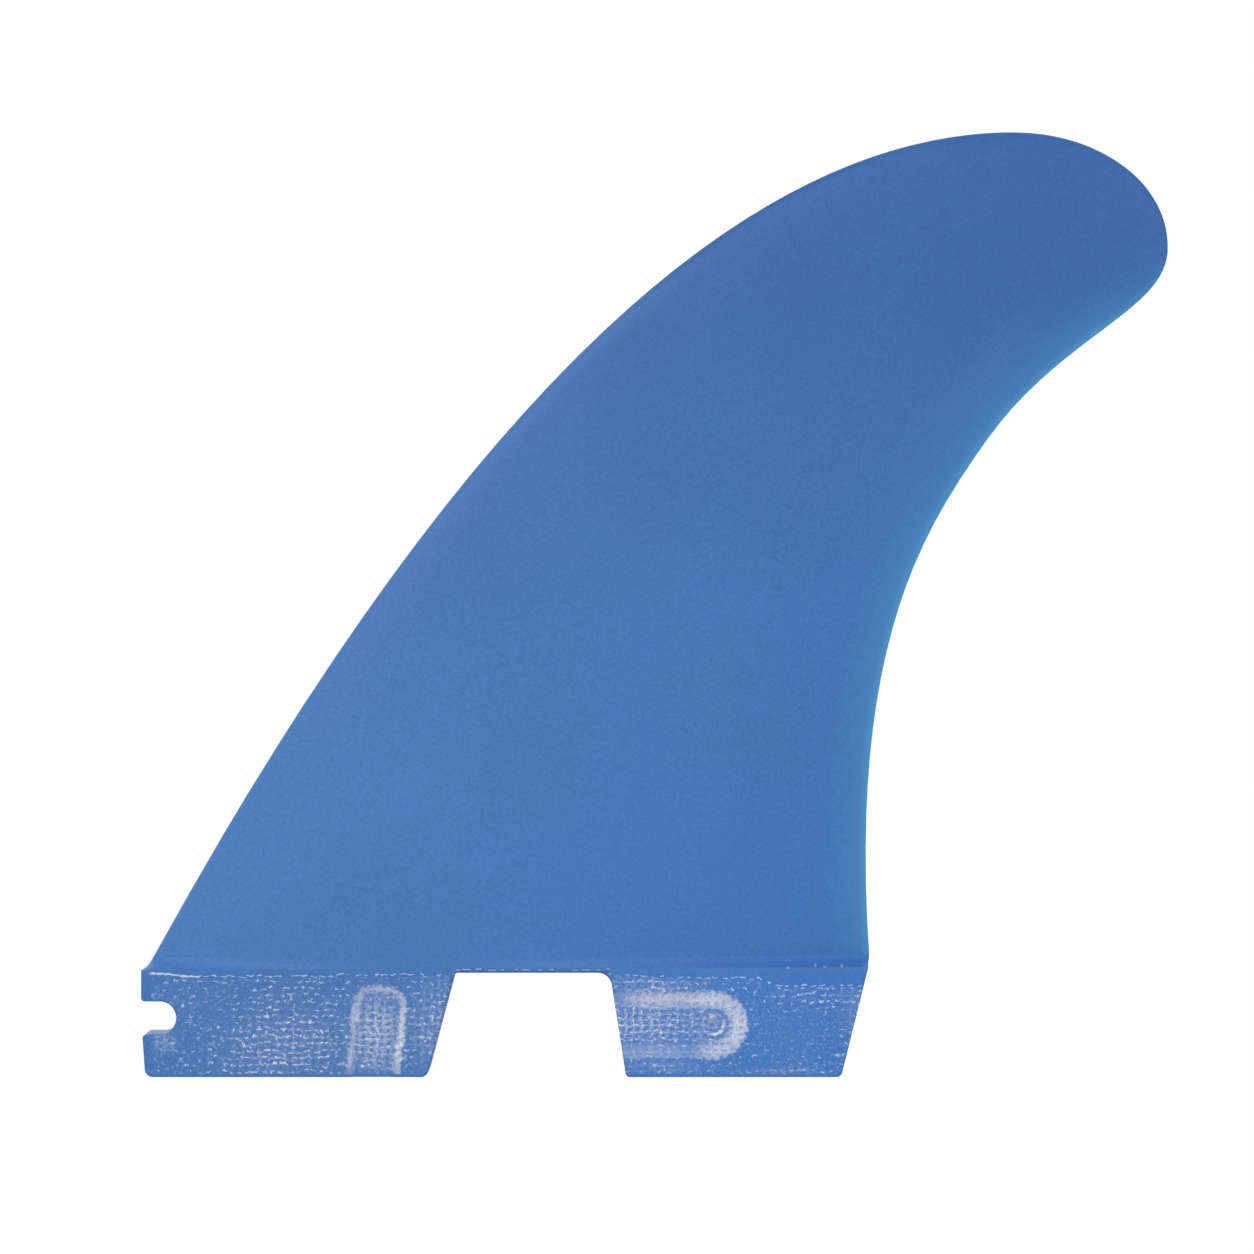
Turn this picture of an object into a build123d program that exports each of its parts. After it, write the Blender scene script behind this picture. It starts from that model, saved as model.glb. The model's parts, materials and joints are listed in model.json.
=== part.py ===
"""Surfboard fin: a foiled, swept blade that stands on a base with two tabs.

The fin is one laminated piece. X runs from the leading edge towards the trailing edge, Y runs
through the thickness and Z runs up to the tip. The origin lies on the underside of the blade,
midway along the gap between the two tabs and midway through the thickness.
All lengths are in millimetres and all angles in degrees.
"""

import os
from math import atan2, cos, degrees, pi, radians, sin, sqrt, tan

from build123d import *

# Base, seen from the side
front_tab_length = 42.1
gap_length = 20.8
rear_tab_length = 34.7
tab_depth = 14.0
tab_thickness = 6.0
base_front_height = 0.35
base_rear_height = 0.8
front_tab_nose_slant = 4.0
front_tab_rear_slant = 15.0
rear_tab_front_slant = 8.9
rear_tab_rear_slant = 13.9

# Corners and edges of the base
front_tab_corner_radius = 1.1
gap_front_radius = 0.5
gap_rear_radius = 1.9
rear_tab_front_corner_radius = 0.6
rear_tab_rear_corner_radius = 0.9
tab_edge_chamfer = 0.25

# Hook notch, open to the front of the front tab
notch_depth = 4.7
notch_width = 4.45
notch_drop = 6.07
notch_lip_radius = 0.5

# Shallow recesses in both faces of each tab, with sloping rims
recess_depth = 0.45
recess_rim_width = 1.1
front_recess_width = 7.2
front_recess_setback = 32.3
front_recess_drop = 1.8
front_recess_corner_radius = 2.6
front_recess_tilt = 6.1
rear_recess_width = 8.9
rear_recess_reach = 18.4
rear_recess_drop = 6.95

# Conical dimple in the round end of the rear recess
dimple_radius = 1.4
dimple_floor_radius = 0.6
dimple_depth = 0.35

# Side outline of the blade
fin_depth = 113.2
tip_top_reach = 64.9
tip_overhang = 20.8
tip_drop = 15.5
blade_root_height = 2.5
leading_edge_setback = 1.6
leading_edge_angle = 61.1
trailing_edge_overhang = 0.27
trailing_edge_angle = 93.9
tuck_back = 26.1
tuck_drop = 28.4
tuck_angle = 57.0

# Pulls of the outline's curves, each a length along the tangent at its end
leading_root_pull = 77.1
leading_top_pull = 39.3
tip_top_pull = 10.9
tip_upper_pull = 9.2
tip_lower_pull = 9.1
tuck_upper_pull = 20.0
tuck_lower_pull = 10.7
trailing_root_pull = 42.75

# Foil of the blade
leading_edge_radius = 0.5
trailing_edge_thickness = 0.72
trailing_edge_half_angle = 4.5
thickest_share = 0.36
thickness_exponent = 0.76
blade_section_count = 16
last_section_share = 0.996

# Shape of a foil's curves, as shares of the length or the half thickness that each belongs to
nose_reach_share = 0.6
nose_pull_limit = 0.9
nose_radius_limit = 0.8
crest_pull_share = 0.45
tail_rise_share = 0.5
tail_half_limit = 0.7

# Flare that spreads from the root of the blade to the base's outline
root_step = 0.05
flare_corner_length = 0.6
foil_corner_share = 0.2
flare_section_count = 8

# Powers of the flare's nose, tail and sides: the higher, the lower down each spreads
flare_nose_power = 6
flare_tail_power = 2
flare_side_power = 3

# Values that follow from the sizes above
base_front = -(gap_length / 2 + front_tab_length)
base_rear = gap_length / 2 + rear_tab_length
tab_half = tab_thickness / 2
root_half = tab_half - root_step
root_nose = base_front + root_step
root_tail = base_rear - root_step
front_recess_run = 1.5 * tab_depth


def side(x, z):
    """Point of the side view, on the middle plane of the fin."""
    return Vector(x, 0, z)


def along(angle, length):
    """Offset of the given length along a direction of the side view."""
    return side(length * cos(radians(angle)), length * sin(radians(angle)))


def run_over(slant, height):
    """Sideways run of a wall that leans from the vertical by the given angle."""
    return height * tan(radians(slant))


def smooth_least(first, second):
    """The smaller of two widths, with a gentle change from one to the other."""
    return (first**-4 + second**-4) ** -0.25


def blend(start, end, share):
    """The value a share of the way from the start to the end."""
    return start + (end - start) * share


def blend_points(start, end, share):
    """The point a share of the way from the start to the end."""
    return tuple(blend(a, b, share) for a, b in zip(start, end))


def straight(start, end):
    """A straight line, as a curve of four points."""
    return [blend_points(start, end, k / 3) for k in range(4)]


def parted(curve, share):
    """The two curves that a curve falls into at the given share of its parameter."""
    rows = [curve]
    while len(rows[-1]) > 1:
        rows.append([blend_points(*pair, share) for pair in zip(rows[-1], rows[-1][1:])])
    return [[row[0] for row in rows], [row[-1] for row in reversed(rows)]]


# Corner points of the blade's outline
leading_root = side(base_front + leading_edge_setback, blade_root_height)
trailing_root = side(base_rear + trailing_edge_overhang, blade_root_height)
tip_top = side(tip_top_reach, fin_depth)
apex = tip_top + side(tip_overhang, -tip_drop)
tuck = apex - side(tuck_back, tuck_drop)

# Leading edge and upper tip, from the root to the apex
with BuildLine() as front_outline:
    Bezier(
        leading_root,
        leading_root + along(leading_edge_angle, leading_root_pull),
        tip_top - side(leading_top_pull, 0),
        tip_top,
    )
    Bezier(
        tip_top,
        tip_top + side(tip_top_pull, 0),
        apex + side(0, tip_upper_pull),
        apex,
    )

# Trailing edge and the underside of the tip, from the root to the apex
with BuildLine() as rear_outline:
    Bezier(
        trailing_root,
        trailing_root + along(trailing_edge_angle, trailing_root_pull),
        tuck - along(tuck_angle, tuck_lower_pull),
        tuck,
    )
    Bezier(
        tuck,
        tuck + along(tuck_angle, tuck_upper_pull),
        apex - side(0, tip_lower_pull),
        apex,
    )

front_edge = front_outline.wire()
rear_edge = rear_outline.wire()
root_chord = trailing_root.X - leading_root.X


def foil_curves(chord, half):
    """The two curves along one side of a foil, as points from its nose to its tail.

    The side leaves the rounded nose upright, rises to the greatest half thickness and falls to
    the tail, which is cut off square.
    """
    crest = thickest_share * chord
    nose_reach = nose_reach_share * crest
    nose_radius = smooth_least(leading_edge_radius, nose_radius_limit * half)
    # The radius at a cubic's start is 3/2 of its first pull squared, over its second one's reach
    nose_pull = smooth_least(sqrt(nose_radius * nose_reach * 2 / 3), nose_pull_limit * half)
    tail_half = smooth_least(trailing_edge_thickness / 2, tail_half_limit * half)
    tail_rise = tail_rise_share * (half - tail_half)
    fall = chord - tail_rise / tan(radians(trailing_edge_half_angle))
    nose_curve = [(0, 0), (0, nose_pull), (nose_reach, half), (crest, half)]
    tail_curve = [
        (crest, half),
        (blend(crest, fall, crest_pull_share), half),
        (fall, tail_half + tail_rise),
        (chord, tail_half),
    ]
    return [nose_curve, tail_curve]


def base_curves(chord, half):
    """The three curves along one side of the base's outline, with a round corner at its front."""
    crest = thickest_share * chord
    corner_curve = [(0, 0), (0, half), (0, half), (flare_corner_length, half)]
    tail_curve = [
        (crest, half),
        (blend(crest, chord, crest_pull_share), half),
        (chord - flare_corner_length, half),
        (chord, half - tab_edge_chamfer),
    ]
    return [corner_curve, straight(corner_curve[-1], tail_curve[0]), tail_curve]


def section_face(nose, tail, near_curves):
    """Face between the curves of one side, laid from nose to tail, and their mirror image."""
    far_curves = [[(x, -y) for x, y in reversed(curve)] for curve in reversed(near_curves)]
    edges = [Bezier(*curve) for curve in near_curves + far_curves]
    edges.insert(len(near_curves), Line(near_curves[-1][-1], far_curves[0][0]))
    section_plane = Plane(origin=nose, x_dir=tail - nose, z_dir=(tail - nose).cross(Vector(0, 1, 0)))
    return section_plane * Face(Wire(edges))


def blade_section(share):
    """Foil at the given share of both outlines' lengths, from the root towards the apex."""
    nose = front_edge.position_at(share * front_edge.length, PositionMode.LENGTH)
    tail = rear_edge.position_at(share * rear_edge.length, PositionMode.LENGTH)
    chord = (tail - nose).length
    half = root_half * (chord / root_chord) ** thickness_exponent
    return section_face(nose, tail, foil_curves(chord, half))


def base_top(x):
    """Height of the base's top, which rises from its front to its rear."""
    return blend(base_front_height, base_rear_height, (x - base_front) / (base_rear - base_front))


def flare_section(share):
    """Section at the given share of the flare's height, from the base's outline to the root foil."""
    nose_height = blend(base_top(root_nose), blade_root_height, share)
    tail_height = blend(base_top(root_tail), blade_root_height, share)
    nose_on_foil = leading_root.X - run_over(90 - leading_edge_angle, blade_root_height - nose_height)
    nose = side(blend(nose_on_foil, root_nose, (1 - share) ** flare_nose_power), nose_height)
    tail = side(blend(trailing_root.X, root_tail, (1 - share) ** flare_tail_power), tail_height)
    chord = (tail - nose).length
    foil_nose, foil_tail = foil_curves(chord, root_half)
    foil_side = [*parted(foil_nose, foil_corner_share), foil_tail]
    spread = (1 - share) ** flare_side_power
    curves = []
    for foil_curve, base_curve in zip(foil_side, base_curves(chord, root_half)):
        curves.append([blend_points(*pair, spread) for pair in zip(foil_curve, base_curve)])
    return section_face(nose, tail, curves)


# Recesses of the near face, as the solid that is cut away
near_face = Plane.XZ.offset(tab_half)
recess_floor = near_face.offset(-recess_depth)
rim_angle = degrees(atan2(recess_rim_width, recess_depth))
dimple_angle = degrees(atan2(dimple_radius - dimple_floor_radius, dimple_depth))
rear_recess_end = gap_length / 2 + rear_recess_reach

with BuildPart() as recesses:
    # Front recess, round at the top and open at the tab's foot
    with BuildSketch(near_face) as front_recess:
        with Locations((base_front + front_recess_setback, -front_recess_drop)):
            Rectangle(
                front_recess_width,
                front_recess_run,
                rotation=-front_recess_tilt,
                align=(Align.CENTER, Align.MAX),
            )
        top_corners = front_recess.vertices().sort_by(Axis.Y)[-2:]
        fillet(top_corners, radius=front_recess_corner_radius)
    # Rear recess, with a round end and open at the gap
    with BuildSketch(near_face):
        with Locations((rear_recess_end, -rear_recess_drop)):
            SlotOverall(rear_recess_end, rear_recess_width, align=(Align.MAX, Align.CENTER))
    extrude(amount=-recess_depth, taper=rim_angle)
    with BuildSketch(recess_floor):
        with Locations((rear_recess_end - rear_recess_width / 2, -rear_recess_drop)):
            Circle(dimple_radius)
    extrude(amount=-dimple_depth, taper=dimple_angle)

# Sections of the blade lie closer together towards the tip, those of the flare towards the base
blade_shares = [sin(pi / 2 * k / blade_section_count) for k in range(blade_section_count)]
blade_sections = [blade_section(share) for share in [*blade_shares, last_section_share]]
flare_shares = [(k / flare_section_count) ** 2 for k in range(flare_section_count + 1)]
flare_sections = [flare_section(share) for share in flare_shares]

with BuildPart() as fin:
    # Base with the two tabs, the gap between them and the hook notch
    with BuildSketch(Plane.XZ) as base_profile:
        with BuildLine():
            corners = [
                ((base_front, base_front_height), 0),
                ((base_front, -notch_drop), 0),
                (
                    (base_front + run_over(front_tab_nose_slant, tab_depth - notch_drop), -tab_depth),
                    front_tab_corner_radius,
                ),
                (
                    (-gap_length / 2 - run_over(front_tab_rear_slant, tab_depth), -tab_depth),
                    front_tab_corner_radius,
                ),
                ((-gap_length / 2, 0), gap_front_radius),
                ((gap_length / 2, 0), gap_rear_radius),
                (
                    (gap_length / 2 + run_over(rear_tab_front_slant, tab_depth), -tab_depth),
                    rear_tab_front_corner_radius,
                ),
                (
                    (base_rear - run_over(rear_tab_rear_slant, tab_depth + base_rear_height), -tab_depth),
                    rear_tab_rear_corner_radius,
                ),
                ((base_rear, base_rear_height), 0),
            ]
            points, radii = zip(*corners)
            FilletPolyline(*points, radius=radii, close=True)
        make_face()
        with Locations((base_front, -notch_drop)):
            SlotOverall(2 * notch_depth, notch_width, mode=Mode.SUBTRACT)
        notch_reach = notch_width / 2 + notch_lip_radius
        mouth = base_profile.vertices().filter_by_position(
            Axis.Y, -notch_drop - notch_reach, -notch_drop + notch_reach
        )
        fillet(mouth.sort_by(Axis.X)[:2], radius=notch_lip_radius)
    extrude(amount=tab_half, both=True)
    side_faces = fin.faces().filter_by(Plane.XZ)
    edges_below_blade = side_faces.edges().sort_by(Axis.Z)[:-2]
    chamfer(edges_below_blade, length=tab_edge_chamfer)

    # Flare and foiled blade
    loft(sections=flare_sections, ruled=True)
    loft(sections=blade_sections)

    # Recesses in both faces of the tabs
    add(recesses.part, mode=Mode.SUBTRACT)
    mirror(recesses.part, about=Plane.XZ, mode=Mode.SUBTRACT)

fin.part.label = "fin"
os.makedirs("parts", exist_ok=True)
export_step(fin.part, "parts/fin.step")
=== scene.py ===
"""Studio scene of a surfboard fin: satin blue resin, with worn glass cloth on its two tabs.

Lengths in the materials are in millimetres, in the fin's own frame: X from the leading edge to
the trailing edge, Z up to the tip, Y through the thickness. Objects are in metres.
"""

import json
from math import radians

import bpy
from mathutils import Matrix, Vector


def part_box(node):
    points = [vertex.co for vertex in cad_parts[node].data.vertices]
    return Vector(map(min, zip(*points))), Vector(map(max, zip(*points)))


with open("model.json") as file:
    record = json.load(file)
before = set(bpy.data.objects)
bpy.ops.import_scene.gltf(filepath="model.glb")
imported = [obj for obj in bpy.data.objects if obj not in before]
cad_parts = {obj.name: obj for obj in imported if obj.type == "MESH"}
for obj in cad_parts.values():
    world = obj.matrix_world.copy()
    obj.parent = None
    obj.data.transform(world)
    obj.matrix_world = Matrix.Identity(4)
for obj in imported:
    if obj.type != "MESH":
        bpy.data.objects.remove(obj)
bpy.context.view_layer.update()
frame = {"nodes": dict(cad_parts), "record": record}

MM = 0.001

# Sizes of the fin that the finish follows
LOW, HIGH = [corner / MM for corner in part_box("fin")]
MOUNTS = {mount["name"]: Vector(mount["pos_m"]) / MM for mount in frame["record"]["mounts"]}
DIMPLE = MOUNTS["near_dimple"]
DIMPLE_RADIUS = 1.4
GAP_HALF = 10.4
REAR_RECESS_HALF_WIDTH = 4.45
REAR_RECESS_END = 28.8

# Recesses, each as a round-cornered rectangle: centre and half size in X and Z, radius of its
# corners and tilt in degrees
FRONT_RECESS = {"centre": (-21.2, -11.25), "half": (3.6, 9.5), "corner": 2.6, "tilt": -6.1}
REAR_RECESS = {
    "centre": (REAR_RECESS_END / 2, DIMPLE.z),
    "half": (REAR_RECESS_END / 2, REAR_RECESS_HALF_WIDTH),
    "corner": REAR_RECESS_HALF_WIDTH,
    "tilt": 0.0,
}

# Colours, as a screen shows them
FRONT_BLUE = (62, 115, 181)
# Painted shade: darker blues towards the rear and the tip
REAR_PAINTED_SHADE_BLUE = (50, 106, 175)
TIP_PAINTED_SHADE_BLUE = (40, 94, 159)
THIN_EDGE_CYAN = (64, 138, 191)
FRONT_EDGE_BLUE = (82, 140, 200)
# Painted shade and painted light of the crease under the flare
CREASE_PAINTED_SHADE = (52, 94, 160)
CREASE_PAINTED_LIGHT = (110, 139, 188)
# Painted shade in the dimple, below the gap line and on the gap's walls
PAINTED_SHADE_BLUE = (34, 74, 138)
# White of bare fibres, also used for painted highlights
FIBRE_AND_HIGHLIGHT_WHITE = (214, 218, 228)
CUT_GREY = (158, 164, 188)
FLOOR_GREY = (236, 236, 236)
WHITE = (255, 255, 255)

# Soft noises that swing to both sides of nothing: lumps a millimetre, full reach and detail
CLOUDS = (0.05, 0.10, 0.0)
GRAIN = (2.4, 0.50, 3.0)
DRIFT_IN_X = (0.3, 1.2, 0.0)
DRIFT_IN_Z = (0.3, 1.0, 0.0)
WOBBLE = (2.2, 0.85, 2.0)
FUZZ = (1.6, 1.6, 2.0)

# Soft noises from 0 to 1: lumps a millimetre, detail and roughness
SPECKLE = (3.2, 3.0, 0.65)
PEEL = (1.1, 1.0, 0.6)

# A place far from the fin, whose noise differs from that of the fin's own place
FAR_PLACE = (31.0, 17.0, 5.0)

# From here on, a change is written as the value where it starts and the one where it ends, and
# then as its result before and after where that isn't 0 and 1.

# Blue of the resin, darkened towards the rear and the tip by painted shade and lightened on slopes that
# face up by painted light. Its changes lean back with the blade, by a share of the height.
BLUE_LEAN = 0.55
REAR_SHADE_CHANGE = (-30.0, 45.0)
TIP_SHADE_CHANGE = (0.15 * HIGH.z, HIGH.z)
TAB_TOP = (1.0, -0.5)
TAB_TONE = (-20.0, 25.0, -0.07, 0.13)
# Painted light on slopes that face up, by the upward share of the normal
UPWARD_PAINTED_LIGHT = (0.05, 0.95, 1.0, 1.14)

# Edges of the blade, found by the distance from the middle plane, and the leaning line that
# parts the rear edge from the front one
EDGE_LEAN = 0.76
REAR_SIDE = (-2.0, 5.0)
BLADE_FOOT = (0.8, 3.5)
BLADE_TOP = (99.0, 85.0)
THIN_REAR_CORE = (0.46, 0.36, 0.0, 0.55)
THIN_REAR_GLOW = (0.85, 0.36, 0.0, 0.4)
THIN_FRONT_GLOW = (1.1, 0.3, 0.0, 0.35)

# Height of the line of fibre ends that runs along the top of the tabs: its start, then each
# step, as first X, last X and rise
FIBRE_LINE_START = -0.08
FIBRE_LINE_STEPS = [
    (-51.0, -45.5, -0.38),
    (-32.0, -20.0, 0.26),
    (9.0, 20.0, -0.34),
    (22.0, 28.0, -0.12),
    (29.5, 33.0, -1.05),
]

# Where the cloth can show: under that line, behind the nose, above the foot and beside the gap
UNDER_LINE = (-0.1, -0.35)
BEHIND_NOSE = (LOW.x + 0.9, LOW.x + 2.3)
ABOVE_FOOT = (LOW.z + 0.25, LOW.z + 0.6)
BESIDE_GAP = (GAP_HALF - 0.4, GAP_HALF + 0.2)

# Threads of the glass cloth along X and along Z: distance from one to the next, length of a dash
# and the number that its chances start from
ROW_THREADS = {"Pitch": 0.93, "Dash": 1.1, "Seed": 3.0}
COLUMN_THREADS = {"Pitch": 1.15, "Dash": 0.9, "Seed": 8.0}

# Dashes of a bare thread, in shares of the dash's length: how far each thread's dashes are set
# off from the last one's, half the length of a shown dash, how much more of it by chance and
# where they join up, the fade at its ends, and how far chance moves it along the thread
DASH_OFFSET = 0.618
DASH_HALF = 0.14
DASH_HALF_BY_CHANCE = 0.26
JOINED_ABOVE, JOINED_GROWTH = 0.7, 0.5
DASH_END_FADE = 0.14
MOVED_ALONG = 0.35

# The same dashes across the thread, in shares of the distance between threads: how far chance
# moves them aside, and the edges of the dash and of the thread under it
MOVED_ASIDE = 0.4
LINE_EDGE = (0.13, 0.02)
THREAD_EDGE = (0.5, 0.1)

# When a dash shows, by its own chance plus the bare share, and how bright it then is
SHOWN_FROM = (0.95, 1.1)
FAINTEST, BRIGHTER_BY_CHANCE = 0.6, 0.5
BRIGHTER_WHERE_BARE = (0.1, 0.9, 0.7, 1.0)

# Share of the threads along X and along Z that is bare all over, and haze all over
WEAR_ALL_OVER = (0.47, 0.12, 0.0)

# Worn places of the glass cloth: centre and reach in X and Z, and how much more of the threads
# along X, of the threads along Z and of the haze shows at the centre
WORN_PLACES = [
    ((-46.0, -4.0), (10.0, 6.0), (0.06, 0.02, 0.02)),
    ((-49.5, -9.3), (3.2, 2.2), (0.40, 0.40, 0.20)),
    ((-32.0, -9.0), (15.0, 8.0), (0.64, 0.68, 0.10)),
    ((-33.0, -2.6), (16.0, 3.2), (0.36, 0.10, 0.02)),
    ((-38.0, -12.0), (14.0, 3.0), (0.45, 0.16, 0.02)),
    ((-13.5, -7.0), (6.0, 10.0), (0.50, 0.60, 0.14)),
    ((-20.8, -8.0), (5.0, 8.5), (0.60, 0.60, 0.36)),
    ((15.0, -6.9), (13.0, 6.0), (0.85, 0.95, 0.20)),
    ((24.4, -7.0), (4.5, 4.5), (0.30, 0.30, 0.34)),
    ((16.0, -1.6), (12.0, 2.4), (0.60, 0.20, 0.12)),
    ((38.0, -3.0), (11.0, 3.4), (0.60, 0.05, 0.04)),
    ((34.5, -8.5), (10.0, 6.0), (-0.50, -0.12, 0.03)),
    ((17.0, -12.4), (10.0, 2.0), (0.30, 0.25, 0.10)),
    ((34.0, -13.1), (10.0, 1.2), (0.50, 0.0, 0.10)),
    ((43.4, -5.5), (3.0, 7.0), (0.16, 0.40, 0.10)),
]

# How the speckle breaks up the thread marks, the frost, the loose sprinkle and the rubbed rims
MARK_SPECKLE = (0.38, 0.5, 0.6, 1.0)
FROST_SPECKLE = (0.40, 0.62, 0.5, 1.7)
SPRINKLE_SPECKLE = (0.53, 0.70, 0.0, 0.24)
RIM_SPECKLE = (0.36, 0.56, 0.6, 1.0)

# Frost and rims are paler on the threads: share of the weave, then share between the threads
FROST_ON_WEAVE, FROST_BETWEEN = 1.1, 0.05
RIM_ON_WEAVE, RIM_BETWEEN = 0.5, 0.5

# Rubbed rims of the two recesses: width from the outline inwards, and how far past the width
# the inner fade goes. The fade starts a little inside the width.
FRONT_RIM_SHAPE = (1.0, 0.6)
REAR_RIM_SHAPE = (1.8, 1.8)
RIM_FADE_INSIDE = 0.6
RIM_OUTER_EDGE = (0.3, -0.2)
RIM_ALL_ROUND = 0.12

# Rubbed places of the rims: centre and reach in X and Z, and paleness at the centre
FRONT_RIM_PLACES = [
    ((-17.8, -9.8), (3.4, 6.5), 1.10),
    ((-17.2, -4.8), (2.6, 4.0), 0.60),
    ((-24.3, -11.2), (2.6, 3.6), 0.60),
    ((-23.4, -5.8), (2.6, 4.8), 0.75),
    ((-20.2, -2.6), (4.8, 2.6), 0.65),
]
REAR_RIM_PLACES = [
    ((17.0, -3.6), (8.0, 3.2), 0.75),
    ((16.0, -10.9), (10.0, 2.6), 0.30),
    ((27.6, -7.2), (6.5, 8.0), 0.94),
    ((23.4, -3.4), (5.0, 3.2), 0.70),
    ((24.0, -10.8), (3.6, 2.6), 0.45),
]

# Dimple, by the distance from its centre, with a painted highlight on the lower rear side of its lip and
# painted shade inside. Bands are middle, half width and fade.
DIMPLE_FUZZ = 0.3
DIMPLE_MOAT = (DIMPLE_RADIUS + 0.45, 0.12, 0.25)
DIMPLE_MOAT_SHARE = 0.6
DIMPLE_FLOOR = (DIMPLE_RADIUS, DIMPLE_RADIUS - 0.3, 0.0, 0.4)
DIMPLE_LIP = (DIMPLE_RADIUS - 0.1, 0.1, 0.2)
DIMPLE_SHADE = (DIMPLE_RADIUS + 0.3, DIMPLE_RADIUS - 0.6, 0.0, 0.16)
LOWER_REAR = (0.7, 0, -0.7)
LOWER_REAR_HIGHLIGHT = (0.1, 1.2, 0.0, 1.3)

# Painted glints at the dimple: centre and reach in X and Z, and paleness
DIMPLE_GLINTS = [((24.2, -6.0), (0.9, 0.7), 1.2), ((24.7, -10.4), (0.9, 1.2), 0.8)]

# Fibre ends in the line along the tabs, and the unbroken stretch of it at the nose
LINE_ENDS = {"Pitch": 0.7, "Dash": 1.2, "Seed": 5.0}
LINE_BARE = (9.0, 12.0, 0.95, 0.88)
LINE_HALF_WIDTH = (0.36, 0.3)
LINE_NOSE = (LOW.x + 0.9, LOW.x + 1.7)
UNBROKEN_BAND = (0.0, 0.05, 0.13)
UNBROKEN_WOBBLE = 0.5
UNBROKEN_END = (-44.2, -45.2)
UNBROKEN_SPECKLE = (0.36, 0.46, 0.3, 1.0)

# Fibre ends in a line over the gap, and the painted shade below it
GAP_ENDS = {"Pitch": 0.5, "Dash": 1.6, "Bare": 0.75, "Wobble": 0.0, "Seed": 6.0}
GAP_LINE_HEIGHT = 0.42
GAP_LINE_HALF_WIDTH = (0.25, 0.2)
UNDERSIDE_SHADE = (GAP_LINE_HEIGHT, 0.2)
UNDERSIDE_SHADE_SHARE = 0.6

# Cut walls of the base, found by how far they face sideways, the plies that show on them, and the
# painted shade on the walls of the gap
BELOW_BLADE = (0.4, 0.1)
NOTCH_WALLS = (0.6, 0.4)
NOTCH_REACH = (-44.0, -49.0)
GAP_WALLS = (0.9, 0.6)
GAP_REACH = (17.0, 15.0)
GAP_WALL_SHADE_SHARE = 0.7
PLY_THICKNESS = 0.32
PLY_WOBBLE = 0.1
PLY_EDGE = (0.08, 0.26)
CUT_ON_PLIES, CUT_ON_SPECKLE, CUT_ALL_OVER = 0.3, 0.3, 0.1

# Crease under the flare, as a band in Z, and its share at the front, where it is painted shade, and over
# the rear tab, where it is painted light
CREASE = (0.75, 0.1, 1.1)
FRONT_CREASE_SHADE = (-43.0, -47.0, 0.0, 0.10)
REAR_CREASE_LIGHT = (-2.0, 26.0, 0.0, 0.14)

# Painted glints in the crease over the rear tab: centre and reach in X and Z
CREASE_GLINTS = [
    ((34.3, 0.70), (0.30, 0.22)),
    ((38.0, 0.95), (0.26, 0.30)),
    ((39.2, 0.82), (0.42, 0.16)),
    ((41.5, 0.90), (0.30, 0.26)),
]
GLINT_PALENESS = 0.5

# Surface: how much of the white covers the blue, roughness from the tabs to the blade, more of
# it on the white, height of the sanded unevenness, and height of the threads in the tabs
WHITE_COVER = 0.9
ROUGHNESS = (-0.3, 0.6, 0.6, 0.46)
PALE_ROUGHNESS = 0.25
PEEL_HEIGHT = 0.014
THREADS_RELIEF_TOP = (-0.1, -0.5)
THREADS_RELIEF_HEIGHT = 0.05
REFRACTION = 1.5
SPECULAR = 0.35

# Floor in metres, with its own glow, and strength of the white surroundings as light
FLOOR_RADIUS = 0.4
FLOOR_SIDES = 96
FLOOR_DROP = 0.1
FLOOR_GLOW = 0.25
WORLD_LIGHT = 0.55

# Soft lamps: name, place and size in metres and power in watts; each is aimed at the middle of
# the fin
LAMPS = [
    ("key", (-0.32, -0.80, 0.50), 0.7, 3.2),
    ("fill", (0.50, -0.75, 0.28), 0.8, 1.6),
    ("back_key", (0.32, 0.80, 0.50), 0.7, 3.2),
    ("back_fill", (-0.50, 0.75, 0.28), 0.8, 1.6),
]

# Camera: the X and Z that it looks at, its distance and the width of its frame and sensor
CAMERA_AIM = (12.70, 46.40)
CAMERA_DISTANCE = 450.0
FRAME_WIDTH = 169.3
SENSOR_WIDTH = 36.0


def linear(colour):
    """Screen colour from 0 to 255 as linear RGBA."""
    shares = [channel / 255 for channel in colour]
    return [s / 12.92 if s < 0.04045 else ((s + 0.055) / 1.055) ** 2.4 for s in shares] + [1.0]


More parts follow.
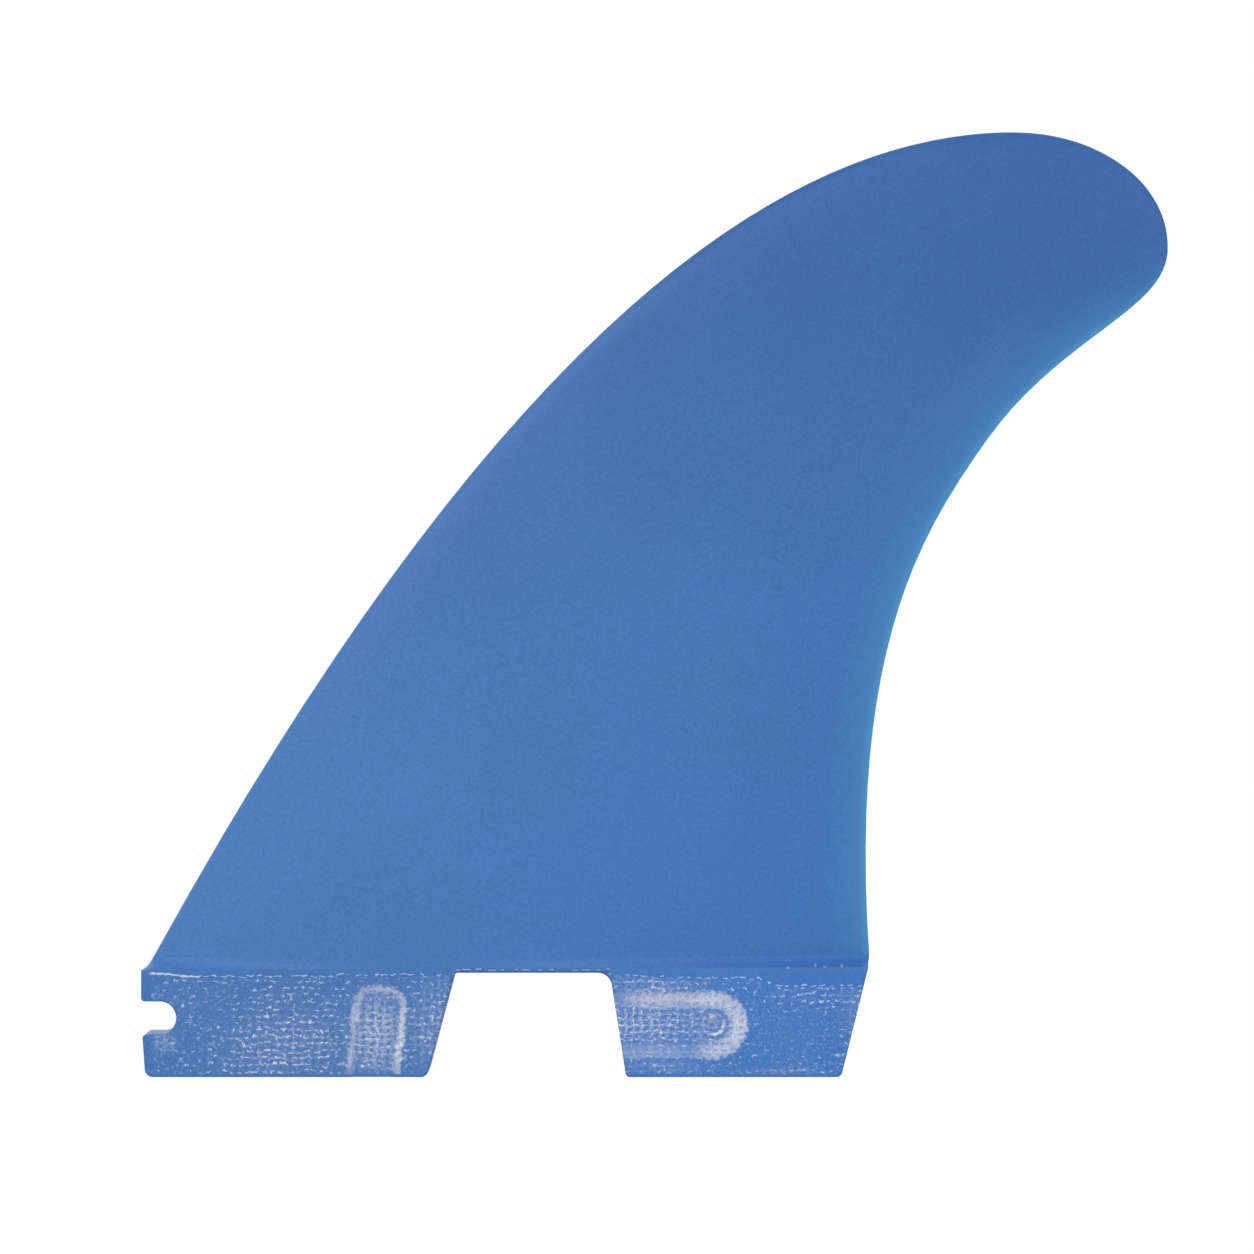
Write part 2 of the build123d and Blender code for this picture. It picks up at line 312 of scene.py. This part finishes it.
class Bench:
    """Adds nodes to one tree and links the sockets or values that it is given."""

    def __init__(self, tree):
        self.tree = tree

    def node(self, kind, *values, **settings):
        """A new node of that kind, with its inputs filled in order."""
        made = self.tree.nodes.new(kind)
        for name, setting in settings.items():
            setattr(made, name, setting)
        for place, value in enumerate(values):
            self.feed(made.inputs[place], value)
        return made

    def feed(self, socket, value):
        """Gives an input a value or a link."""
        if isinstance(value, bpy.types.NodeSocket):
            self.tree.links.new(value, socket)
        else:
            socket.default_value = value

    def math(self, operation, *values, clamp=False):
        """Result of one step of arithmetic."""
        return self.node("ShaderNodeMath", *values, operation=operation, use_clamp=clamp).outputs[0]

    def chain(self, operation, first, *others):
        """Result of the same step taken over all the values in turn."""
        for other in others:
            first = self.math(operation, first, other)
        return first

    def add(self, *values):
        """Sum of the values."""
        return self.chain("ADD", *values)

    def less(self, *values):
        """The first value less all the others."""
        return self.chain("SUBTRACT", *values)

    def times(self, *values):
        """Product of the values."""
        return self.chain("MULTIPLY", *values)

    def most(self, *values):
        """The highest of the values."""
        return self.chain("MAXIMUM", *values)

    def size(self, value):
        """A value without its sign."""
        return self.math("ABSOLUTE", value)

    def vector(self, operation, *values):
        """Result of one step of vector arithmetic."""
        return self.node("ShaderNodeVectorMath", *values, operation=operation).outputs[0]

    def scale(self, vector, factor):
        """A vector or colour times one factor."""
        made = self.node("ShaderNodeVectorMath", vector, operation="SCALE")
        self.feed(made.inputs["Scale"], factor)
        return made.outputs[0]

    def length(self, vector):
        """Length of a vector."""
        return self.node("ShaderNodeVectorMath", vector, operation="LENGTH").outputs["Value"]

    def reach_along(self, vector, direction):
        """How far a vector goes along a direction."""
        made = self.node("ShaderNodeVectorMath", vector, direction, operation="DOT_PRODUCT")
        return made.outputs["Value"]

    def split(self, vector):
        """The three coordinates of a vector."""
        return self.node("ShaderNodeSeparateXYZ", vector).outputs

    def join(self, x, y, z):
        """A vector from three coordinates."""
        return self.node("ShaderNodeCombineXYZ", x, y, z).outputs[0]

    def ramp(self, value, start, end, low=0.0, high=1.0):
        """Smooth change from low to high while the value goes from start to end."""
        made = self.node(
            "ShaderNodeMapRange", value, start, end, low, high, interpolation_type="SMOOTHSTEP"
        )
        return made.outputs[0]

    def band(self, value, middle, half_width, fade):
        """1 within the half width of the middle, fading to 0 past it."""
        return self.ramp(self.size(self.less(value, middle)), half_width + fade, half_width)

    def noise(self, vector, scale, detail, roughness=0.5):
        """Soft noise from 0 to 1, with about that many lumps a millimetre."""
        made = self.node("ShaderNodeTexNoise", normalize=True)
        self.feed(made.inputs["Vector"], vector)
        self.feed(made.inputs["Scale"], scale)
        self.feed(made.inputs["Detail"], detail)
        self.feed(made.inputs["Roughness"], roughness)
        return made.outputs["Fac"]

    def swing(self, vector, scale, reach, detail):
        """Soft noise from minus half the reach to plus half of it."""
        return self.times(self.less(self.noise(vector, scale, detail), 0.5), reach)

    def blend(self, share, first, second):
        """Colour between two colours."""
        made = self.node("ShaderNodeMix", data_type="RGBA")
        for place, value in ((0, share), (6, first), (7, second)):
            self.feed(made.inputs[place], value)
        return made.outputs[2]

    def use(self, group, **values):
        """One use of a node group, with its inputs filled by name."""
        made = self.node("ShaderNodeGroup", node_tree=group)
        for name, value in values.items():
            self.feed(made.inputs[name], value)
        return made.outputs


def new_group(name, inputs, outputs):
    """An empty node group with named inputs and outputs, its bench and its two ends."""
    tree = bpy.data.node_groups.new(name, "ShaderNodeTree")
    for label, kind in inputs.items():
        tree.interface.new_socket(label, in_out="INPUT", socket_type="NodeSocket" + kind)
    for label, kind in outputs.items():
        tree.interface.new_socket(label, in_out="OUTPUT", socket_type="NodeSocket" + kind)
    bench = Bench(tree)
    source = bench.node("NodeGroupInput").outputs
    drain = bench.node("NodeGroupOutput").inputs
    return tree, bench, source, drain


def soft_spot_group():
    """A patch that is 1 at its centre and fades to 0 at its rim, seen along Y."""
    tree, bench, source, drain = new_group(
        "soft_spot", {"Position": "Vector", "Centre": "Vector", "Reach": "Vector"}, {"Spot": "Float"}
    )
    offset = bench.vector("SUBTRACT", source["Position"], source["Centre"])
    scaled = bench.vector("DIVIDE", offset, source["Reach"])
    flat = bench.vector("MULTIPLY", scaled, (1, 0, 1))
    bench.feed(drain["Spot"], bench.ramp(bench.length(flat), 1.0, 0.0))
    return tree


def pocket_distance_group():
    """Distance to the rim of a round-cornered pocket seen along Y, below 0 inside it."""
    tree, bench, source, drain = new_group(
        "pocket_distance",
        {"Position": "Vector", "Centre": "Vector", "Half": "Vector", "Corner": "Float", "Tilt": "Float"},
        {"Distance": "Float"},
    )
    turn = bench.node(
        "ShaderNodeVectorRotate", source["Position"], source["Centre"], rotation_type="Y_AXIS"
    )
    bench.feed(turn.inputs["Angle"], source["Tilt"])
    offset = bench.vector("SUBTRACT", turn.outputs[0], source["Centre"])
    corner = bench.join(source["Corner"], 0.0, source["Corner"])
    inner = bench.vector("SUBTRACT", source["Half"], corner)
    past = bench.split(bench.vector("SUBTRACT", bench.vector("ABSOLUTE", offset), inner))
    outside = bench.length(bench.join(bench.most(past["X"], 0.0), 0.0, bench.most(past["Z"], 0.0)))
    within = bench.math("MINIMUM", bench.most(past["X"], past["Z"]), 0.0)
    bench.feed(drain["Distance"], bench.less(bench.add(outside, within), source["Corner"]))
    return tree


def broken_threads_group():
    """Pale dashes where the threads of one direction are bare, with one row of them a thread.

    Along runs with the threads and Across runs over them, in millimetres. Bare is the share of
    the dashes that shows, and where it is high the dashes are longer and join up.
    """
    sizes = ("Along", "Across", "Wobble", "Pitch", "Dash", "Bare", "Seed")
    tree, bench, source, drain = new_group(
        "broken_threads", dict.fromkeys(sizes, "Float"), {"Marks": "Float", "Thread": "Float"}
    )
    thread = bench.math("DIVIDE", source["Across"], source["Pitch"])
    number = bench.math("FLOOR", thread)
    off_thread = bench.add(bench.less(thread, number, 0.5), source["Wobble"])
    step = bench.math("DIVIDE", source["Along"], source["Dash"])
    step = bench.add(step, bench.times(number, DASH_OFFSET))
    dash = bench.math("FLOOR", step)
    off_dash = bench.less(step, dash, 0.5)

    which_dash = bench.join(dash, number, source["Seed"])
    chance = bench.node("ShaderNodeTexWhiteNoise", which_dash, noise_dimensions="3D").outputs
    shift, extent, drop = bench.split(chance["Color"])
    shown = bench.ramp(bench.add(chance["Value"], source["Bare"]), *SHOWN_FROM)
    joined = bench.times(bench.most(bench.less(source["Bare"], JOINED_ABOVE), 0.0), JOINED_GROWTH)
    half = bench.add(bench.times(extent, DASH_HALF_BY_CHANCE), joined, DASH_HALF)
    from_middle = bench.less(off_dash, bench.times(bench.less(shift, 0.5), MOVED_ALONG))
    reach = bench.ramp(bench.size(from_middle), half, bench.less(half, DASH_END_FADE))
    from_line = bench.less(off_thread, bench.times(bench.less(drop, 0.5), MOVED_ASIDE))
    line = bench.ramp(bench.size(from_line), *LINE_EDGE)
    glint = bench.add(bench.times(drop, BRIGHTER_BY_CHANCE), FAINTEST)
    glint = bench.times(glint, bench.ramp(source["Bare"], *BRIGHTER_WHERE_BARE))
    bench.feed(drain["Marks"], bench.times(shown, reach, line, glint))
    bench.feed(drain["Thread"], bench.ramp(bench.size(off_thread), *THREAD_EDGE))
    return tree


class Skin(Bench):
    """Bench of the fin's own material, with the place on the fin and the patterns it shares."""

    def __init__(self, tree):
        super().__init__(tree)
        coordinates = self.node("ShaderNodeTexCoord").outputs
        self.place = self.scale(coordinates["Object"], 1 / MM)
        self.x, self.y, self.z = self.split(self.place)
        self.normal = self.split(coordinates["Normal"])
        self.spots = soft_spot_group()
        self.pockets = pocket_distance_group()
        self.threads = broken_threads_group()
        self.wobble = self.swing(self.place, *WOBBLE)
        self.fuzz = self.swing(self.place, *FUZZ)
        self.speckle = self.noise(self.place, *SPECKLE)

    def spot(self, centre, reach):
        """One soft patch, from its centre and its reach in X and Z."""
        (x, z), (reach_x, reach_z) = centre, reach
        made = self.use(self.spots, Position=self.place, Centre=(x, 0, z), Reach=(reach_x, 1, reach_z))
        return made["Spot"]

    def pocket(self, recess):
        """Distance to the outline of one recess."""
        (x, z), (half_x, half_z) = recess["centre"], recess["half"]
        made = self.use(
            self.pockets,
            Position=self.place,
            Centre=(x, 0, z),
            Half=(half_x, 0, half_z),
            Corner=recess["corner"],
            Tilt=radians(recess["tilt"]),
        )
        return made["Distance"]


def resin_blue_and_painted_light(skin):
    """Blue of the resin: lighter low down, as painted shade darkens it towards the rear and the tip,
    lighter on slopes that face up by painted light, and lighter at its thin edges.
    """
    leaning = skin.less(skin.x, skin.times(skin.z, BLUE_LEAN))
    # Painted shade: the blue darkens towards the rear and the tip
    blue = skin.blend(skin.ramp(leaning, *REAR_SHADE_CHANGE), linear(FRONT_BLUE), linear(REAR_PAINTED_SHADE_BLUE))
    blue = skin.blend(skin.ramp(skin.z, *TIP_SHADE_CHANGE), blue, linear(TIP_PAINTED_SHADE_BLUE))
    clouds = skin.swing(skin.place, *CLOUDS)
    grain = skin.swing(skin.place, *GRAIN)
    tabs = skin.times(skin.ramp(skin.z, *TAB_TOP), skin.ramp(skin.x, *TAB_TONE))
    # Painted light: slopes that face up are made lighter, in place of the light they miss
    tone_and_painted_light = skin.times(skin.add(clouds, grain, tabs, 1.0), skin.ramp(skin.normal["Z"], *UPWARD_PAINTED_LIGHT))
    return edge_blue(skin, skin.scale(blue, tone_and_painted_light))


def edge_blue(skin, blue):
    """The blue with cyan along the thin rear edge of the blade and a lighter front edge."""
    thickness = skin.size(skin.y)
    rear = skin.ramp(skin.less(skin.x, skin.times(skin.z, EDGE_LEAN)), *REAR_SIDE)
    on_blade = skin.times(skin.ramp(skin.z, *BLADE_FOOT), skin.ramp(skin.z, *BLADE_TOP))
    thin = skin.add(skin.ramp(thickness, *THIN_REAR_CORE), skin.ramp(thickness, *THIN_REAR_GLOW))
    blue = skin.blend(skin.times(thin, rear, on_blade), blue, linear(THIN_EDGE_CYAN))
    front = skin.times(skin.less(1.0, rear), skin.ramp(thickness, *THIN_FRONT_GLOW))
    return skin.blend(skin.times(front, on_blade), blue, linear(FRONT_EDGE_BLUE))


def height_above_line(skin):
    """Height above the line of fibre ends."""
    line_height = FIBRE_LINE_START
    for first, last, rise in FIBRE_LINE_STEPS:
        line_height = skin.add(skin.ramp(skin.x, first, last, 0.0, rise), line_height)
    return skin.less(skin.z, line_height)


def wear(skin):
    """Share of the threads along X and along Z that is bare, and the haze, over the whole fin."""
    total = WEAR_ALL_OVER
    for centre, reach, more in WORN_PLACES:
        spot = skin.spot(centre, reach)
        total = skin.vector("MULTIPLY_ADD", skin.join(spot, spot, spot), more, total)
    return skin.split(total)


def glass_cloth(skin):
    """Paleness of the worn cloth, and the weave of its threads, which drift from straight rows."""
    along_x = skin.add(skin.x, skin.y, skin.swing(skin.place, *DRIFT_IN_X))
    far_place = skin.vector("ADD", skin.place, FAR_PLACE)
    along_z = skin.add(skin.z, skin.y, skin.swing(far_place, *DRIFT_IN_Z))
    bare_x, bare_z, haze = wear(skin)
    rows = skin.use(
        skin.threads, Along=along_x, Across=along_z, Wobble=skin.wobble, Bare=bare_x, **ROW_THREADS
    )
    columns = skin.use(
        skin.threads, Along=along_z, Across=along_x, Wobble=skin.wobble, Bare=bare_z, **COLUMN_THREADS
    )
    weave = skin.most(rows["Thread"], columns["Thread"])
    on_weave = skin.add(skin.times(weave, FROST_ON_WEAVE), FROST_BETWEEN)
    frost = skin.times(haze, on_weave, skin.ramp(skin.speckle, *FROST_SPECKLE))
    sprinkle = skin.ramp(skin.speckle, *SPRINKLE_SPECKLE)
    marks = skin.most(rows["Marks"], columns["Marks"])
    marks = skin.times(marks, skin.ramp(skin.speckle, *MARK_SPECKLE))
    return skin.most(marks, frost, sprinkle), weave


def recess_rim(skin, recess, places, width, fade):
    """Paleness of the sloping rim of one recess, crisp outside and fading inwards."""
    rubbed = RIM_ALL_ROUND
    for centre, reach, paleness in places:
        rubbed = skin.math("MULTIPLY_ADD", skin.spot(centre, reach), paleness, rubbed)
    distance = skin.add(skin.pocket(recess), skin.fuzz)
    outer_side = skin.ramp(distance, *RIM_OUTER_EDGE)
    inner_side = skin.ramp(distance, -width - fade, -width + RIM_FADE_INSIDE)
    return skin.times(outer_side, inner_side, rubbed)


def dimple(skin, streak):
    """What stays pale round the dimple, the painted highlight and glints on the fibres of its lower rear
    lip, and its painted shade.
    """
    offset = skin.vector("SUBTRACT", skin.place, (DIMPLE.x, 0, DIMPLE.z))
    offset = skin.vector("MULTIPLY", offset, (1, 0, 1))
    from_centre = skin.length(offset)
    ring = skin.add(from_centre, skin.times(skin.fuzz, DIMPLE_FUZZ))
    moat = skin.times(skin.band(ring, *DIMPLE_MOAT), DIMPLE_MOAT_SHARE)
    kept = skin.less(1.0, skin.add(moat, skin.ramp(ring, *DIMPLE_FLOOR)))
    # Painted highlight on the lower rear side of the lip
    lit_side = skin.ramp(skin.reach_along(offset, LOWER_REAR), *LOWER_REAR_HIGHLIGHT)
    lip = skin.times(skin.band(ring, *DIMPLE_LIP), lit_side, streak)
    for centre, reach, paleness in DIMPLE_GLINTS:
        lip = skin.most(lip, skin.times(skin.spot(centre, reach), paleness, streak))
    return kept, lip, skin.ramp(from_centre, *DIMPLE_SHADE)


def tab_line(skin, above_line, over_tabs):
    """Fibre ends in a line along the top of the tabs, unbroken at the nose."""
    across = skin.add(above_line, LINE_ENDS["Pitch"] / 2)
    bare = skin.ramp(skin.x, *LINE_BARE)
    ends = skin.use(
        skin.threads, Along=skin.x, Across=across, Wobble=skin.wobble, Bare=bare, **LINE_ENDS
    )["Marks"]
    ends = skin.times(ends, skin.ramp(skin.size(above_line), *LINE_HALF_WIDTH), over_tabs)
    wobbly = skin.add(above_line, skin.times(skin.wobble, UNBROKEN_WOBBLE))
    unbroken = skin.times(
        skin.band(wobbly, *UNBROKEN_BAND),
        skin.ramp(skin.x, *UNBROKEN_END),
        skin.ramp(skin.speckle, *UNBROKEN_SPECKLE),
    )
    return skin.times(skin.most(ends, unbroken), skin.ramp(skin.x, *LINE_NOSE))


def gap_line(skin, over_gap):
    """Fibre ends in a line over the gap."""
    across = skin.less(skin.z, GAP_LINE_HEIGHT - GAP_ENDS["Pitch"] / 2)
    ends = skin.use(skin.threads, Along=skin.x, Across=across, **GAP_ENDS)["Marks"]
    above = skin.size(skin.less(skin.z, GAP_LINE_HEIGHT))
    return skin.times(ends, skin.ramp(above, *GAP_LINE_HALF_WIDTH), over_gap)


def cut_walls(skin):
    """Share of bare laminate on the walls at the notch, with its plies, and painted shade of the gap's
    walls.
    """
    sideways = skin.size(skin.normal["Y"])
    below_blade = skin.ramp(skin.z, *BELOW_BLADE)
    at_notch = skin.times(skin.ramp(sideways, *NOTCH_WALLS), below_blade)
    ply = skin.math("PINGPONG", skin.add(skin.y, skin.times(skin.wobble, PLY_WOBBLE)), PLY_THICKNESS)
    plies = skin.times(skin.ramp(ply, *PLY_EDGE), CUT_ON_PLIES)
    bare = skin.add(plies, skin.times(skin.speckle, CUT_ON_SPECKLE), CUT_ALL_OVER)
    bare = skin.times(at_notch, bare, skin.ramp(skin.x, *NOTCH_REACH))
    at_gap = skin.times(skin.ramp(sideways, *GAP_WALLS), skin.ramp(skin.size(skin.x), *GAP_REACH))
    return bare, skin.times(at_gap, below_blade, GAP_WALL_SHADE_SHARE)


def painted_crease_shade_and_light(skin, blue):
    """The blue with the crease under the flare: painted shade at the front and painted light over the
    rear tab.
    """
    crease = skin.band(skin.z, *CREASE)
    front = skin.times(crease, skin.ramp(skin.x, *FRONT_CREASE_SHADE))
    rear = skin.times(crease, skin.ramp(skin.x, *REAR_CREASE_LIGHT))
    return skin.blend(rear, skin.blend(front, blue, linear(CREASE_PAINTED_SHADE)), linear(CREASE_PAINTED_LIGHT))


def crease_glints(skin):
    """Painted glints in the crease over the rear tab."""
    glints = 0.0
    for centre, reach in CREASE_GLINTS:
        glints = skin.add(skin.times(skin.spot(centre, reach), GLINT_PALENESS), glints)
    return glints


def surface_relief(skin):
    """Soft unevenness all over, with the threads of the cloth raised on the tabs."""
    peel = skin.times(skin.noise(skin.place, *PEEL), PEEL_HEIGHT)
    over_rows = skin.math("PINGPONG", skin.add(skin.z, skin.y), ROW_THREADS["Pitch"] / 2)
    over_columns = skin.math("PINGPONG", skin.add(skin.x, skin.y), COLUMN_THREADS["Pitch"] / 2)
    on_tabs = skin.ramp(skin.z, *THREADS_RELIEF_TOP)
    threads = skin.times(skin.most(over_rows, over_columns), on_tabs, THREADS_RELIEF_HEIGHT)
    bump = skin.node("ShaderNodeBump")
    skin.feed(bump.inputs["Distance"], MM)
    skin.feed(bump.inputs["Height"], skin.add(peel, threads))
    return bump.outputs["Normal"]


def empty_material(name):
    """A new material whose node tree is empty."""
    material = bpy.data.materials.new(name)
    material.use_nodes = True
    material.node_tree.nodes.clear()
    return material


def fin_material():
    """Satin blue laminate whose glass cloth shows pale where the tabs are worn."""
    material = empty_material("satin_blue_laminate")
    skin = Skin(material.node_tree)

    # Masks of the tabs
    above_line = height_above_line(skin)
    over_tabs = skin.ramp(skin.size(skin.x), *BESIDE_GAP)
    over_gap = skin.less(1.0, over_tabs)
    on_tabs = skin.times(
        skin.ramp(above_line, *UNDER_LINE),
        skin.ramp(skin.x, *BEHIND_NOSE),
        skin.ramp(skin.z, *ABOVE_FOOT),
    )

    # White of the bare fibres, with painted highlights at the dimple and in the crease
    cloth, weave = glass_cloth(skin)
    on_weave = skin.add(skin.times(weave, RIM_ON_WEAVE), RIM_BETWEEN)
    streak = skin.times(skin.ramp(skin.speckle, *RIM_SPECKLE), on_weave)
    kept, lip, dimple_shade = dimple(skin, streak)
    front_rim = recess_rim(skin, FRONT_RECESS, FRONT_RIM_PLACES, *FRONT_RIM_SHAPE)
    rear_rim = recess_rim(skin, REAR_RECESS, REAR_RIM_PLACES, *REAR_RIM_SHAPE)
    rims = skin.times(skin.most(front_rim, rear_rim), streak)
    worn = skin.times(skin.most(cloth, rims), on_tabs, kept)
    lines = skin.most(tab_line(skin, above_line, over_tabs), gap_line(skin, over_gap))
    white = skin.most(worn, lip, lines, crease_glints(skin))
    pale = skin.math("MULTIPLY", white, WHITE_COVER, clamp=True)

    # Blue under it, with painted shade in the dimple, below the line over the gap and on the gap's walls
    bare_wall, wall_shade = cut_walls(skin)
    # Painted shade below the line over the gap
    underside_shade = skin.times(skin.ramp(skin.z, *UNDERSIDE_SHADE), over_gap, UNDERSIDE_SHADE_SHARE)
    shade = skin.most(underside_shade, dimple_shade, wall_shade)
    blue = skin.blend(shade, painted_crease_shade_and_light(skin, resin_blue_and_painted_light(skin)), linear(PAINTED_SHADE_BLUE))
    colour = skin.blend(bare_wall, blue, linear(CUT_GREY))
    colour = skin.blend(pale, colour, linear(FIBRE_AND_HIGHLIGHT_WHITE))

    rough = skin.add(skin.times(pale, PALE_ROUGHNESS), skin.ramp(skin.z, *ROUGHNESS))
    shader = skin.node("ShaderNodeBsdfPrincipled")
    skin.feed(shader.inputs["Base Color"], colour)
    skin.feed(shader.inputs["Roughness"], rough)
    skin.feed(shader.inputs["Normal"], surface_relief(skin))
    skin.feed(shader.inputs["IOR"], REFRACTION)
    skin.feed(shader.inputs["Specular IOR Level"], SPECULAR)
    skin.node("ShaderNodeOutputMaterial", shader.outputs[0])
    return material


def seen_directly(bench):
    """1 for rays from the camera, in reflections and through glass, 0 for light."""
    rays = bench.node("ShaderNodeLightPath").outputs
    return bench.most(rays["Is Camera Ray"], rays["Is Glossy Ray"], rays["Is Transmission Ray"])


def floor_material():
    """Plain pale floor that keeps a soft shadow and isn't seen from below."""
    material = empty_material("plain_pale_floor")
    bench = Bench(material.node_tree)
    matte = bench.node("ShaderNodeBsdfDiffuse", linear(FLOOR_GREY))
    glow = bench.node("ShaderNodeEmission", linear(WHITE), FLOOR_GLOW)
    lit = bench.node("ShaderNodeAddShader", matte.outputs[0], glow.outputs[0])
    pale = bench.node("ShaderNodeMixShader", seen_directly(bench), matte.outputs[0], lit.outputs[0])
    clear = bench.node("ShaderNodeBsdfTransparent")
    under = bench.node("ShaderNodeNewGeometry").outputs["Backfacing"]
    both = bench.node("ShaderNodeMixShader", under, pale.outputs[0], clear.outputs[0])
    bench.node("ShaderNodeOutputMaterial", both.outputs[0])
    return material


def add_floor():
    """Round floor, far enough below the tabs to stay out of the photograph's frame."""
    bpy.ops.mesh.primitive_circle_add(
        vertices=FLOOR_SIDES,
        radius=FLOOR_RADIUS,
        fill_type="NGON",
        location=(0, 0, LOW.z * MM - FLOOR_DROP),
    )
    floor = bpy.context.object
    floor.name = "floor"
    bpy.ops.object.transform_apply(location=True, rotation=True, scale=True)
    floor.data.materials.append(floor_material())


def add_world():
    """White surroundings: full white to the eye and in reflections, softer as light."""
    world = bpy.data.worlds.new("white_room")
    bpy.context.scene.world = world
    world.use_nodes = True
    world.node_tree.nodes.clear()
    bench = Bench(world.node_tree)
    strength = bench.math("MULTIPLY_ADD", seen_directly(bench), 1.0 - WORLD_LIGHT, WORLD_LIGHT)
    background = bench.node("ShaderNodeBackground", linear(WHITE), strength)
    bench.node("ShaderNodeOutputWorld", background.outputs[0])


def add_lamps():
    """Four soft lamps, two on each side of the fin."""
    middle = (LOW + HIGH) / 2 * MM
    for name, place, size, power in LAMPS:
        bpy.ops.object.light_add(type="AREA", location=place)
        lamp = bpy.context.object
        lamp.name = name
        lamp.data.shape = "DISK"
        lamp.data.size = size
        lamp.data.energy = power
        lamp.rotation_euler = (middle - Vector(place)).to_track_quat("-Z", "Y").to_euler()


def add_camera():
    """Camera square to the near face, as in the photograph."""
    bpy.ops.object.camera_add(
        location=(CAMERA_AIM[0] * MM, -CAMERA_DISTANCE * MM, CAMERA_AIM[1] * MM),
        rotation=(radians(90), 0, 0),
    )
    camera = bpy.context.object
    camera.data.sensor_width = SENSOR_WIDTH
    camera.data.lens = SENSOR_WIDTH * CAMERA_DISTANCE / FRAME_WIDTH
    bpy.context.scene.camera = camera


bpy.ops.object.select_all(action="DESELECT")
frame["nodes"]["fin"].material_slots[0].material = fin_material()
add_floor()
add_world()
add_lamps()
add_camera()
bpy.context.scene.view_settings.view_transform = "Standard"
